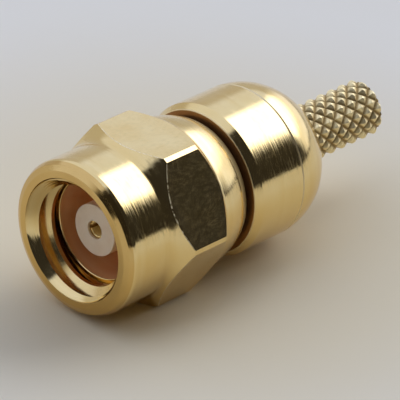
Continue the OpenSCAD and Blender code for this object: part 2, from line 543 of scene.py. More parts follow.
class Wire:
    """A value on a shader sheet, written as Python maths."""

    def __init__(self, sheet: "Sheet", socket: bpy.types.NodeSocket) -> None:
        """Takes an output socket of a sheet."""
        self.sheet = sheet
        self.socket = socket

    def _math(self, operation: str, *values: "Wire | float") -> "Wire":
        """Adds one Math node.

        Args:
            operation: What the node does.
            values: Its inputs in order.

        Returns:
            Its result.
        """
        made = self.sheet.node("ShaderNodeMath", {"operation": operation}, dict(enumerate(values)))
        return Wire(self.sheet, made.outputs[0])

    def __add__(self, other: "Wire | float") -> "Wire":
        """Adds."""
        return self._math("ADD", self, other)

    __radd__ = __add__

    def __sub__(self, other: "Wire | float") -> "Wire":
        """Subtracts."""
        return self._math("SUBTRACT", self, other)

    def __rsub__(self, other: float) -> "Wire":
        """Subtracts this from a number."""
        return self._math("SUBTRACT", other, self)

    def __mul__(self, other: "Wire | float") -> "Wire":
        """Multiplies."""
        return self._math("MULTIPLY", self, other)

    __rmul__ = __mul__

    def __truediv__(self, other: "Wire | float") -> "Wire":
        """Divides."""
        return self._math("DIVIDE", self, other)

    def __rtruediv__(self, other: float) -> "Wire":
        """Divides a number by this."""
        return self._math("DIVIDE", other, self)

    def __neg__(self) -> "Wire":
        """Changes the sign."""
        return self._math("MULTIPLY", self, -1.0)

    def root(self) -> "Wire":
        """Takes the square root."""
        return self._math("SQRT", self)

    def most(self, other: "Wire | float") -> "Wire":
        """Keeps the larger."""
        return self._math("MAXIMUM", self, other)

    def rise(self, low: float, high: float) -> "Wire":
        """Goes smoothly from 0 at low to 1 at high.

        Args:
            low: Where it starts.
            high: Where it ends.

        Returns:
            A value from 0 to 1.
        """
        made = self.sheet.node(
            "ShaderNodeMapRange",
            {"interpolation_type": "SMOOTHSTEP"},
            {"Value": self, "From Min": low, "From Max": high, "To Min": 0.0, "To Max": 1.0},
        )
        return Wire(self.sheet, made.outputs["Result"])


class Sheet:
    """A node tree that is filled in from code."""

    def __init__(self, tree: bpy.types.NodeTree) -> None:
        """Clears a node tree for a new sheet."""
        self.tree = tree
        tree.nodes.clear()

    def node(
        self,
        kind: str,
        settings: dict[str, Any] | None = None,
        inputs: dict[str | int, Any] | None = None,
    ) -> bpy.types.Node:
        """Adds one node.

        Args:
            kind: Type of the node.
            settings: Its own settings, set first.
            inputs: Values or wires of its sockets.

        Returns:
            The new node.
        """
        made = self.tree.nodes.new(kind)
        for name, value in (settings or {}).items():
            setattr(made, name, value)
        for key, value in (inputs or {}).items():
            if isinstance(value, Wire):
                self.tree.links.new(value.socket, made.inputs[key])
            else:
                made.inputs[key].default_value = value
        return made

    def wire(self, made: bpy.types.Node, output: str | int = 0) -> Wire:
        """Takes one output of a node as a value."""
        return Wire(self, made.outputs[output])

    def place(self) -> Wire:
        """Gives the place on the piece, in millimetres."""
        spot = self.wire(self.node("ShaderNodeTexCoord"), "Object")
        return self.wire(
            self.node("ShaderNodeVectorMath", {"operation": "SCALE"}, {0: spot, "Scale": 1.0 / MM})
        )

    def parts(self, vector: Wire) -> tuple[Wire, Wire, Wire]:
        """Splits a vector.

        Args:
            vector: The vector.

        Returns:
            Its X, Y and Z.
        """
        split = self.node("ShaderNodeSeparateXYZ", None, {0: vector})
        return self.wire(split, 0), self.wire(split, 1), self.wire(split, 2)

    def lines(self, along: Wire) -> Wire:
        """Gives uneven lines across a direction, one to each unit.

        Args:
            along: Value that runs across the lines.

        Returns:
            A height from 0 to 1.
        """
        made = self.node(
            "ShaderNodeTexNoise",
            {"noise_dimensions": "1D"},
            {"W": along, "Scale": 1.0, "Detail": 2.0, "Roughness": 0.6},
        )
        return self.wire(made, "Fac")

    def cloud(self, place: Wire, scale: float, detail: float = 3.0) -> Wire:
        """Gives soft patches in space.

        Args:
            place: Where, as a vector.
            scale: Patches to each unit.
            detail: Finer patches on top.

        Returns:
            A value from 0 to 1.
        """
        made = self.node(
            "ShaderNodeTexNoise",
            {"noise_dimensions": "3D"},
            {"Vector": place, "Scale": scale, "Detail": detail, "Roughness": 0.55},
        )
        return self.wire(made, "Fac")

    def stretch(self, place: Wire, by: tuple[float, float, float]) -> Wire:
        """Scales a vector part by part."""
        return self.wire(
            self.node("ShaderNodeVectorMath", {"operation": "MULTIPLY"}, {0: place, 1: by})
        )

    def blend(self, share: Wire, low: "Wire | Colour", high: "Wire | Colour") -> Wire:
        """Mixes two colours.

        Args:
            share: How much of the second.
            low: The first colour.
            high: The second colour.

        Returns:
            The mixed colour.
        """
        made = self.node(
            "ShaderNodeMix", {"data_type": "RGBA"}, {"Factor": share, "A": low, "B": high}
        )
        return self.wire(made, "Result")

    def bump(self, height: Wire, depth: float) -> Wire:
        """Turns a height into a normal.

        Args:
            height: From 0 to 1.
            depth: Depth of the relief, in millimetres.

        Returns:
            The normal.
        """
        inputs = {"Strength": 1.0, "Distance": depth * MM, "Height": height}
        made = self.node("ShaderNodeBump", None, inputs)
        return self.wire(made, "Normal")


class Finish:
    """A material by name, made once and shared."""

    name: str

    def material(self) -> bpy.types.Material:
        """Gives the material, and makes it the first time.

        Returns:
            The material.
        """
        known = bpy.data.materials.get(self.name)
        if known is not None:
            return known
        made = bpy.data.materials.new(self.name)
        made.use_nodes = True
        sheet = Sheet(made.node_tree)
        shader = sheet.node("ShaderNodeBsdfPrincipled", None, self.sockets(sheet))
        sheet.node("ShaderNodeOutputMaterial", None, {"Surface": sheet.wire(shader)})
        return made

    def sockets(self, sheet: Sheet) -> dict[str | int, Any]:
        """Gives what feeds the shader's sockets."""
        raise NotImplementedError


@dataclass(frozen=True)
class TurnedGold(Finish):
    """Gold plate over a turned surface, with fine lines round the axis.

    Attributes:
        name: Name of the material.
        bright: Colour of the clean plate.
        deep: Colour where the plate is richer.
        lines_per_mm: Tool lines to each millimetre.
        line_depth: Depth of the lines, in millimetres.
        rough: Roughness of the smoothest and the roughest places.
        metal: Share of the surface that is bare metal.
    """

    name: str = "turned_gold"
    bright: Colour = (0.87, 0.67, 0.31, 1.0)
    deep: Colour = (0.83, 0.60, 0.24, 1.0)
    lines_per_mm: float = 14.0
    line_depth: float = 0.0045
    rough: Span = (0.08, 0.26)
    metal: float = 1.0

    def sockets(self, sheet: Sheet) -> dict[str | int, Any]:
        """Draws tool lines across the axis and across faces, with soft patches.

        Args:
            sheet: Sheet of the material.

        Returns:
            What feeds the shader.
        """
        place = sheet.place()
        x, y, z = sheet.parts(place)
        along = x + 0.7 * (y * y + z * z).root()
        fine = sheet.lines(along * self.lines_per_mm)
        broad = sheet.lines(along * (0.14 * self.lines_per_mm) + 40.0)
        brush = sheet.cloud(sheet.stretch(place, (11.0, 0.8, 0.8)), 1.0)
        patch = sheet.cloud(place, 0.55)
        speck = sheet.cloud(sheet.stretch(place, (9.0, 3.5, 3.5)), 1.0, 4.0)
        height = (0.4 * fine + 0.25 * broad + 0.6 * brush) * (0.5 + patch)
        worn = (0.5 * speck + 0.3 * brush + 0.2 * fine).rise(0.4, 0.72)
        rich = (0.75 * patch + 0.45 * broad).rise(0.35, 0.85)
        low, high = self.rough
        return {
            "Base Color": sheet.blend(rich, self.bright, self.deep),
            "Metallic": self.metal,
            "Roughness": low + (high - low) * worn,
            "Normal": sheet.bump(height, self.line_depth),
        }


@dataclass(frozen=True)
class BoreGlowGold(TurnedGold):
    """Brighter, redder and mostly diffuse copy of the plate down in a bore, less even than outside: painted
    light for the light that bounces in it.
    """

    name: str = "bore_glow_gold"
    bright: Colour = (1.0, 0.56, 0.27, 1.0)
    deep: Colour = (0.95, 0.49, 0.21, 1.0)
    lines_per_mm: float = 12.0
    line_depth: float = 0.0015
    rough: Span = (0.30, 0.36)
    metal: float = 0.15


@dataclass(frozen=True)
class ReamedGold(TurnedGold):
    """Gold plate on a reamed wall, smooth and rich."""

    name: str = "reamed_gold"
    bright: Colour = (0.82, 0.61, 0.26, 1.0)
    deep: Colour = (0.76, 0.53, 0.21, 1.0)
    line_depth: float = 0.0015
    rough: Span = (0.14, 0.26)


@dataclass(frozen=True)
class FaceShadeGold(TurnedGold):
    """Darker, richer copy of the barrel's plate on the faced front end: painted shade."""

    name: str = "face_shade_gold"
    bright: Colour = (0.73, 0.49, 0.17, 1.0)
    deep: Colour = (0.67, 0.43, 0.14, 1.0)


@dataclass(frozen=True)
class GapShadeGold(TurnedGold):
    """Dull, dark brown copy of the plate down in the gap behind the nut: painted shade of the gap."""

    name: str = "gap_shade_gold"
    bright: Colour = (0.40, 0.19, 0.06, 1.0)
    deep: Colour = (0.33, 0.15, 0.05, 1.0)
    line_depth: float = 0.002
    rough: Span = (0.28, 0.38)
    metal: float = 0.7


@dataclass(frozen=True)
class RubAndGlintGold(TurnedGold):
    """Paler, duller plate along a broken edge: wear, and a painted highlight along the edge."""

    name: str = "rub_and_glint_gold"
    bright: Colour = (0.92, 0.75, 0.42, 1.0)
    deep: Colour = (0.87, 0.67, 0.33, 1.0)
    rough: Span = (0.36, 0.55)
    metal: float = 0.7


@dataclass(frozen=True)
class TailShadeGold(FaceShadeGold):
    """Duller, darker copy of the plate on the nut's rear edge, where it turns into the gap: painted shade.
    """

    name: str = "tail_shade_gold"
    bright: Colour = (0.80, 0.62, 0.27, 1.0)
    deep: Colour = (0.72, 0.53, 0.21, 1.0)
    rough: Span = (0.3, 0.4)
    metal: float = 0.55


@dataclass(frozen=True)
class EdgeGold(RubAndGlintGold):
    """Plate on the broken edges of the flats, darker and less pale than on the broken edges elsewhere."""

    name: str = "edge_gold"
    bright: Colour = (0.80, 0.62, 0.32, 1.0)
    deep: Colour = (0.72, 0.53, 0.25, 1.0)
    metal: float = 0.85


@dataclass(frozen=True)
class CavityGlowGold(ReamedGold):
    """Brighter, coppery, partly diffuse copy of the plate on the wall of the mating cavity: painted bounce
    light.
    """

    name: str = "cavity_glow_gold"
    bright: Colour = (1.0, 0.62, 0.29, 1.0)
    deep: Colour = (0.95, 0.54, 0.22, 1.0)
    rough: Span = (0.16, 0.26)
    metal: float = 0.3


@dataclass(frozen=True)
class SocketGlowGold(BoreGlowGold):
    """Bright, mostly diffuse copy of the plate down in the contact's socket: painted light in the hole."""

    name: str = "socket_glow_gold"
    bright: Colour = (1.0, 0.78, 0.33, 1.0)
    deep: Colour = (0.96, 0.70, 0.25, 1.0)
    metal: float = 0.1


@dataclass(frozen=True)
class DrawnGold(Finish):
    """Gold plate over a drawn bar's flats, specked, with pale wear and a painted highlight along the front
    edge.

    Attributes:
        name: Name of the material.
        bright: Colour of the clean plate.
        deep: Colour where the plate is richer.
        streak_depth: Depth of the drawing streaks, in millimetres.
        dimple_depth: Depth of the uneven skin under the plate, in millimetres.
        rough: Roughness of the smoothest and the roughest places.
        edge_wear_glint_colour: Colour of the pale wear and painted highlight along the front edge.
        edge: Width of that edge, in millimetres.
        front: Where the front cone's line meets the axis, in millimetres along it.
    """

    name: str = "drawn_gold"
    bright: Colour = (0.87, 0.67, 0.31, 1.0)
    deep: Colour = (0.83, 0.60, 0.24, 1.0)
    streak_depth: float = 0.0006
    dimple_depth: float = 0.0012
    rough: Span = (0.11, 0.23)
    edge_wear_glint_colour: Colour = (0.95, 0.82, 0.52, 1.0)
    edge: float = 0.06
    front: float = 1.9549

    def sockets(self, sheet: Sheet) -> dict[str | int, Any]:
        """Draws streaks along the bar, a specked skin and the front edge's pale wear and painted highlight.

        Args:
            sheet: Sheet of the material.

        Returns:
            What feeds the shader.
        """
        place = sheet.place()
        streak = sheet.cloud(sheet.stretch(place, (0.35, 7.0, 7.0)), 1.0, 4.0)
        dimple = sheet.cloud(place, 4.5, 2.0)
        speck = sheet.cloud(sheet.stretch(place, (5.0, 7.5, 7.5)), 1.0, 5.0)
        patch = sheet.cloud(place, 0.9)
        share = self.streak_depth / self.dimple_depth
        x, y, z = sheet.parts(place)
        inside = self.front - x - (y * y + z * z).root()
        haze = speck.rise(0.5, 0.74)
        # Pale wear and a painted highlight along the flat's front edge, broken by specks.
        edge_wear_glint = (1.0 - inside.rise(0.2 * self.edge, self.edge)) * speck.rise(0.34, 0.6)
        dull = (0.8 * speck + 0.2 * patch).rise(0.3, 0.72)
        low, high = self.rough
        plate = sheet.blend(patch.rise(0.3, 0.8), self.bright, self.deep)
        return {
            "Base Color": sheet.blend(edge_wear_glint, plate, self.edge_wear_glint_colour),
            "Metallic": 1.0 - 0.4 * edge_wear_glint - 0.035 * haze,
            "Roughness": low + (high - low) * dull + 0.25 * edge_wear_glint,
            "Normal": sheet.bump(dimple + share * streak, self.dimple_depth),
        }


@dataclass(frozen=True)
class RolledGold(Finish):
    """Gold plate over a rolled knurl, duller and grained, with painted shade in the grooves.

    Attributes:
        name: Name of the material.
        bright: Colour of the clean plate.
        deep: Colour of the painted shade down in the grooves.
        grain_depth: Depth of the grain, in millimetres.
        rough: Roughness of the smoothest and the roughest places.
        root_r: Radius of the grooves.
        crest_r: Radius of the crests.
        metal: Share of the surface that is bare metal.
    """

    name: str = "rolled_gold"
    bright: Colour = (1.0, 0.83, 0.45, 1.0)
    deep: Colour = (0.42, 0.29, 0.11, 1.0)
    grain_depth: float = 0.024
    rough: Span = (0.40, 0.56)
    root_r: float = 1.01
    crest_r: float = 1.14
    metal: float = 0.92

    def sockets(self, sheet: Sheet) -> dict[str | int, Any]:
        """Draws grain, with painted shade that deepens the colour towards the grooves.

        Args:
            sheet: Sheet of the material.

        Returns:
            What feeds the shader.
        """
        place = sheet.place()
        _, y, z = sheet.parts(place)
        crest = (y * y + z * z).root().rise(self.root_r, self.crest_r)
        grain = sheet.cloud(place, 7.0)
        # Painted shade: the colour darkens from the crests down into the grooves.
        clean = (0.8 * crest + 0.4 * grain).rise(0.15, 0.75)
        low, high = self.rough
        return {
            "Base Color": sheet.blend(clean, self.deep, self.bright),
            "Metallic": self.metal,
            "Roughness": high - (high - low) * crest + 0.08 * grain,
            "Normal": sheet.bump(grain, self.grain_depth),
        }


@dataclass(frozen=True)
class WhiteResin(Finish):
    """Waxy white insulator, turned from rod.

    Attributes:
        name: Name of the material.
        pale: Colour of most of it.
        shade: Colour of the denser patches.
        lines_per_mm: Tool lines to each millimetre.
        line_depth: Depth of the lines, in millimetres.
        rough: Roughness between the lines and on them.
        glow: Share of the light that goes through the skin.
        glow_mm: How far red, green and blue light go in it, in millimetres.
    """

    name: str = "white_resin"
    pale: Colour = (0.90, 0.70, 0.47, 1.0)
    shade: Colour = (0.85, 0.64, 0.41, 1.0)
    lines_per_mm: float = 14.0
    line_depth: float = 0.002
    rough: Span = (0.42, 0.56)
    glow: float = 0.25
    glow_mm: tuple[float, float, float] = (0.4, 0.35, 0.28)

    def sockets(self, sheet: Sheet) -> dict[str | int, Any]:
        """Draws faint tool lines and a cloudy body.

        Args:
            sheet: Sheet of the material.

        Returns:
            What feeds the shader.
        """
        place = sheet.place()
        x, y, z = sheet.parts(place)
        lines = sheet.lines((x + 0.8 * (y * y + z * z).root()) * self.lines_per_mm)
        cloud = sheet.cloud(place, 2.2)
        low, high = self.rough
        return {
            "Base Color": sheet.blend(cloud.rise(0.3, 0.8), self.pale, self.shade),
            "Roughness": low + (high - low) * lines,
            "Subsurface Weight": self.glow,
            "Subsurface Radius": tuple(depth * MM for depth in self.glow_mm),
            "Subsurface Scale": 1.0,
            "Normal": sheet.bump(lines, self.line_depth),
        }


@dataclass(frozen=True)
class SpringBronze(Finish):
    """Bare spring bronze strip.

    Attributes:
        name: Name of the material.
        bright: Colour of the clean metal.
        dull: Colour of the tarnish.
        rough: Roughness of the clean metal and of the tarnish.
        grain_depth: Depth of the rolling grain, in millimetres.
    """

    name: str = "spring_bronze"
    bright: Colour = (0.62, 0.36, 0.18, 1.0)
    dull: Colour = (0.38, 0.20, 0.10, 1.0)
    rough: Span = (0.26, 0.46)
    grain_depth: float = 0.003

    def sockets(self, sheet: Sheet) -> dict[str | int, Any]:
        """Draws tarnish and rolling grain.

        Args:
            sheet: Sheet of the material.

        Returns:
            What feeds the shader.
        """
        place = sheet.place()
        tarnish = sheet.cloud(place, 1.6)
        grain = sheet.cloud(sheet.stretch(place, (9.0, 2.0, 2.0)), 1.0)
        low, high = self.rough
        return {
            "Base Color": sheet.blend(tarnish.rise(0.35, 0.75), self.bright, self.dull),
            "Metallic": 1.0,
            "Roughness": low + (high - low) * tarnish,
            "Normal": sheet.bump(grain, self.grain_depth),
        }


@dataclass(frozen=True)
class PaperFloor(Finish):
    """Pale studio paper with a painted shade under the part.

    Attributes:
        name: Name of the material.
        pale: Colour of the paper.
        shade_under_part: Colour of the painted shade on the paper under the part.
        middle: Place under the part on the X axis, in millimetres.
        fade: Radii round that place between which the painted shade gives way to the pale paper.
        rough: Roughness of the paper.
        gloss: Strength of its reflections.
    """

    name: str = "paper_floor"
    pale: Colour = (0.92, 0.87, 0.73, 1.0)
    shade_under_part: Colour = (0.84, 0.73, 0.49, 1.0)
    middle: float = -6.0
    fade: Span = (6.0, 22.0)
    rough: float = 0.85
    gloss: float = 0.2

    def sockets(self, sheet: Sheet) -> dict[str | int, Any]:
        """Draws faint fibres on a sheet with a painted shade under the part, paler further out.

        Args:
            sheet: Sheet of the material.

        Returns:
            What feeds the shader.
        """
        place = sheet.place()
        x, y, _ = sheet.parts(place)
        fibre = sheet.cloud(place, 0.8)
        along = x - self.middle
        # Painted shade: the paper is darker and warmer under the part, and pale further out.
        out = (along * along + y * y).root().rise(*self.fade)
        return {
            "Base Color": sheet.blend(out + 0.05 * fibre, self.shade_under_part, self.pale),
            "Roughness": self.rough,
            "Specular IOR Level": self.gloss,
        }


@dataclass(frozen=True)
class CouplingNut:
    """The nut: barrel, hexagon, crown and threaded mouth.

    Attributes:
        layout: Stations of the model.
        barrel_r: Radius of the barrel.
        barrel_len: Length of the plain barrel.
        barrel_fillet: Radius of the hollow between the barrel and the cone.
        corner_r: Radius left on the hexagon's corners.
        hex_len: Length of the hexagon at its corners.
        cone_deg: Slope of both cones, from the axis.
        crown_r: Radius where the crown behind the hexagon begins.
        crown_fillet: Radius of the hollow between the rear cone and the crown.
        crown_lead: Slope of the crown where it begins, in degrees.
        crown_curve: Radius of the crown's bulging side.
        crown_deg: Slope of the crown where it ends.
        crown_edge: Radius of the rounder rear edge behind the crown.
        crown_crease: How much steeper that edge begins than the crown ends.
        tail_len: Length of that edge.
        tail_reach: How far that edge runs on into the gap behind the nut.
        bevel_rise: Height of the bevel on the front face's outer edge.
        bevel_knee: Station where that bevel grows gentler, and its depth there below the barrel.
        bevel_run: Length of that bevel.
        face_shade_depth: How far back the painted shade of the front face runs over it.
        mouth_r: Radius of the countersink at the front face.
        mouth_depth: Depth of the countersink.
        crest_r: Radius of the thread's crests.
        root_r: Radius of the thread's roots.
        thread_pitch: From one thread to the next.
        thread_len: Length of the threaded stretch.
        flank_deg: Slope of the thread's flanks.
        root_share: Half width of the thread's roots, as a share of the pitch.
        tap_lead: How far behind the threaded stretch the tap starts.
        tap_turns: Turns of the tap.
        mouth_step: Depth of the small step at the countersink's rim.
        mouth_ledge: Width of that step.
        ring_depth: Depth of the tool rings in the countersink.
        ring_places: Where those rings lie, as shares of the way from its foot to its rim.
        ring_half: Half width of a ring, as such a share.
        relief_r: Radius of the relief behind the thread.
        groove: Station of the lock ring's groove.
        groove_len: Length of that groove.
        groove_r: Radius of that groove.
        tube_bore_r: Radius of the bore on the body's tube.
        edge_break: Width of the broken edges round the flats.
    """

    layout: Layout
    barrel_r: float = 3.07
    barrel_len: float = 2.05
    barrel_fillet: float = 0.64
    corner_r: float = 3.611
    hex_len: float = 1.65
    cone_deg: float = 45.0
    crown_r: float = 3.12
    crown_fillet: float = 0.4
    crown_lead: float = 8.0
    crown_curve: float = 5.4
    crown_deg: float = 20.0
    crown_edge: float = 2.2
    crown_crease: float = 4.0
    tail_len: float = 0.29
    tail_reach: float = 0.11
    bevel_rise: float = 0.35
    bevel_knee: Span = (0.104, 0.126)
    bevel_run: float = 0.325
    face_shade_depth: float = 0.23
    mouth_r: float = 2.45
    mouth_depth: float = 0.43
    crest_r: float = 2.05
    root_r: float = 2.4
    thread_pitch: float = 0.794
    thread_len: float = 0.77
    flank_deg: float = 30.0
    root_share: float = 1 / 7
    tap_lead: float = 0.45
    tap_turns: int = 3
    mouth_step: float = 0.05
    mouth_ledge: float = 0.02
    ring_depth: float = 0.004
    ring_places: tuple[float, ...] = (0.34, 0.52, 0.70, 0.86)
    ring_half: float = 0.025
    relief_r: float = 2.21
    groove: float = 3.55
    groove_len: float = 0.76
    groove_r: float = 2.65
    tube_bore_r: float = 2.23
    edge_break: float = 0.04

    def build(self) -> Workpiece:
        """Turns the blank, mills the flats, breaks their edges and taps the bore.

        Returns:
            The finished nut.
        """
        nut = Workpiece.turned("gold_coupling_nut", self._blank(), self.layout, NUT_SIDES)
        with nut.editing():
            for normal in self._flat_normals():
                nut.trim(normal * self.layout.flat, normal)
        nut.combine(self._tap(), Join.CUT)
        nut.coat(TurnedGold(), DrawnGold(), ReamedGold(), EdgeGold(), FaceShadeGold(), GapShadeGold(), TailShadeGold())
        with nut.editing():
            nut.pick(Pick.EDGES, self._rims_flat)
            bpy.ops.mesh.bevel(
                offset=self.edge_break,
                segments=2,
                profile=0.5,
                clamp_overlap=True,
                material=NutCoat.EDGE.value,
            )
        nut.complete()
        return nut

    def dress(self, nut: Workpiece) -> None:
        """Sorts the nut's faces by finish and fits it in the frame.

        Args:
            nut: The finished nut.
        """
        nut.paint(self.layout, self._coat_of)
        nut.fit(Body.NUT, Slot.GOLD, "coupling_nut")

    def _coat_of(self, face: bpy.types.MeshPolygon, station: float, reach: float) -> int:
        """Chooses the finish of one face, with a little slack for the rounded corners.

        Args:
            face: A face of the finished nut.
            station: Its station.
            reach: Its distance from the axis.

        Returns:
            The finish's place.
        """
        end = self.layout.nut_end
        tail = end - self.tail_len + 0.005
        thread_end = self.mouth_depth + self.thread_len
        in_groove = self.crest_r + 0.03 < reach < self.root_r + 0.01
        # The rear edge that turns into the gap gets the painted shade of the tail.
        if station > tail and reach > self.tube_bore_r + 0.1 and face.normal.x > -0.9:
            return NutCoat.TAIL
        if reach < self.groove_r + 0.01 and station > thread_end:
            # Near its rear end the bore gets the painted shade of the gap.
            return NutCoat.REAMED if station < end - 0.05 else NutCoat.DIM
        if in_groove and station > self.mouth_depth - 0.02:
            return NutCoat.REAMED
        # The front face and the front of its bevel get the painted shade of the face.
        if reach > self.mouth_r and station < self.face_shade_depth:
            return NutCoat.FACED
        if face.area > FLAT_AREA * MM * MM and self._flat_way(face.normal) is not None:
            return NutCoat.DRAWN
        return face.material_index

    def _blank(self) -> Outline:
        """Gives the half section before the flats.

        Returns:
            A closed outline.
        """
        cone, lead = math.radians(self.cone_deg), math.radians(self.crown_lead)
        brow = math.radians(self.crown_deg + self.crown_crease)
        hollow = Corner(self.barrel_len, self.barrel_r + self.barrel_fillet)
        foot = Outline.sweep(hollow, -self.barrel_fillet, 0.0, -self.cone_deg, steps=9)
        hex_start = foot[-1].station + (self.corner_r - foot[-1].radius) / math.tan(cone)
        hex_end = hex_start + self.hex_len
        heel_r = self.crown_r + self.crown_fillet * (math.cos(lead) - math.cos(cone))
        heel = hex_end + (self.corner_r - heel_r) / math.tan(cone)
        fillet = self.crown_fillet
        waist = Corner(heel + fillet * math.sin(cone), heel_r + fillet * math.cos(cone))
        lift = fillet + self.crown_curve
        middle = Corner(waist.station - lift * math.sin(lead), waist.radius - lift * math.cos(lead))
        crown = Outline.sweep(middle, self.crown_curve, self.crown_lead, self.crown_deg, steps=8)
        lip = crown[-1]
        drop = self.crown_edge
        rim = Corner(lip.station - drop * math.sin(brow), lip.radius - drop * math.cos(brow))
        end = self.layout.nut_end + self.tail_reach
        last = math.degrees(math.asin((end - rim.station) / drop))
        tail = Outline.sweep(rim, drop, math.degrees(brow), last, steps=5)
        thread_end = self.mouth_depth + self.thread_len
        knee, sunk = self.bevel_knee
        return Outline(
            (
                Corner(0.0, self.mouth_r, 0.01),
                Corner(0.0, self.barrel_r - self.bevel_rise, 0.05),
                Corner(knee, self.barrel_r - sunk, 0.08),
                Corner(self.bevel_run, self.barrel_r, 0.3),
                *foot,
                Corner(hex_start, self.corner_r, 0.06),
                Corner(hex_end, self.corner_r, 0.06),
                *Outline.sweep(waist, -fillet, self.cone_deg, self.crown_lead, steps=7),
                *crown[1:],
                *tail[1:-1],
                Corner(end, tail[-1].radius, 0.02),
                Corner(end, self.tube_bore_r, 0.03),
                Corner(self.groove + self.groove_len, self.tube_bore_r),
                Corner(self.groove + self.groove_len, self.groove_r),
                Corner(self.groove, self.groove_r),
                Corner(self.groove, self.relief_r),
                Corner(thread_end, self.relief_r),
                Corner(thread_end, self.crest_r, 0.02),
                Corner(self.mouth_depth, self.crest_r, 0.02),
                *self._countersink(),
            )
        )

    def _countersink(self) -> list[Corner]:
        """Gives the countersink from its foot to its rim, with fine tool rings and a small step.

        Returns:
            The corners in order.
        """
        foot = Corner(self.mouth_depth, self.crest_r)
        rim = Corner(self.mouth_step, self.mouth_r - self.mouth_ledge)
        run, rise = foot.station - rim.station, rim.radius - foot.radius
        slant = math.hypot(run, rise)
        dip = (self.ring_depth * rise / slant, self.ring_depth * run / slant)
        corners = []
        for place in self.ring_places:
            for step, deep in ((-self.ring_half, 0), (0.0, 1), (self.ring_half, 0)):
                at = place + step
                station = foot.station - at * run + deep * dip[0]
                corners.append(Corner(station, foot.radius + at * rise + deep * dip[1]))
        return [*corners, rim]

    def _flat_normals(self) -> list[Vector]:
        """Gives the directions that the six flats face."""
        turns = [k * math.tau / 6 for k in range(6)]
        return [Vector((0.0, math.sin(a), math.cos(a))) for a in turns]

    def _flat_way(self, normal: Vector) -> Vector | None:
        """Gives the direction of the flat that a normal belongs to, or None."""
        return next((way for way in self._flat_normals() if normal.dot(way) > FLAT_COSINE), None)

    def _on_flat(self, face: bmesh.types.BMFace) -> bool:
        """Says whether a face is one of the six flats.

        Args:
            face: A face of the nut.

        Returns:
            True for a flat.
        """
        way = self._flat_way(face.normal)
        return way is not None and abs(face.calc_center_median().dot(way) - self.layout.flat) < 1e-3

    def _rims_flat(self, edge: bmesh.types.BMEdge) -> bool:
        """Says whether an edge lies round a flat."""
        return sum(self._on_flat(face) for face in edge.link_faces) == 1

    def _tap(self) -> Workpiece:
        """Makes the screw-shaped cutter of the coupling thread.

        Returns:
            A closed cutter.
        """
        inner_r = self.crest_r - OVERCUT
        tip = self.root_share * self.thread_pitch
        foot = tip + (self.root_r - inner_r) * math.tan(math.radians(self.flank_deg))
        start = self.layout.x(self.mouth_depth + self.thread_len + self.tap_lead)
        section = [
            Vector((start - foot, 0.0, inner_r)),
            Vector((start - tip, 0.0, self.root_r)),
            Vector((start + tip, 0.0, self.root_r)),
            Vector((start + foot, 0.0, inner_r)),
        ]
        tap = Workpiece.wire("tap", section, True)
        thread = tap.obj.modifiers.new("thread", "SCREW")
        thread.axis = "X"
        thread.angle = math.tau
        thread.screw_offset = self.thread_pitch
        thread.iterations = self.tap_turns
        thread.steps = BORE_SIDES
        thread.render_steps = BORE_SIDES
        tap.apply(thread)
        with tap.editing():
            tap.merge(1e-5)
            bpy.ops.mesh.fill_holes(sides=0)
            bpy.ops.mesh.select_all(action="SELECT")
            bpy.ops.mesh.normals_make_consistent(inside=False)
        return tap


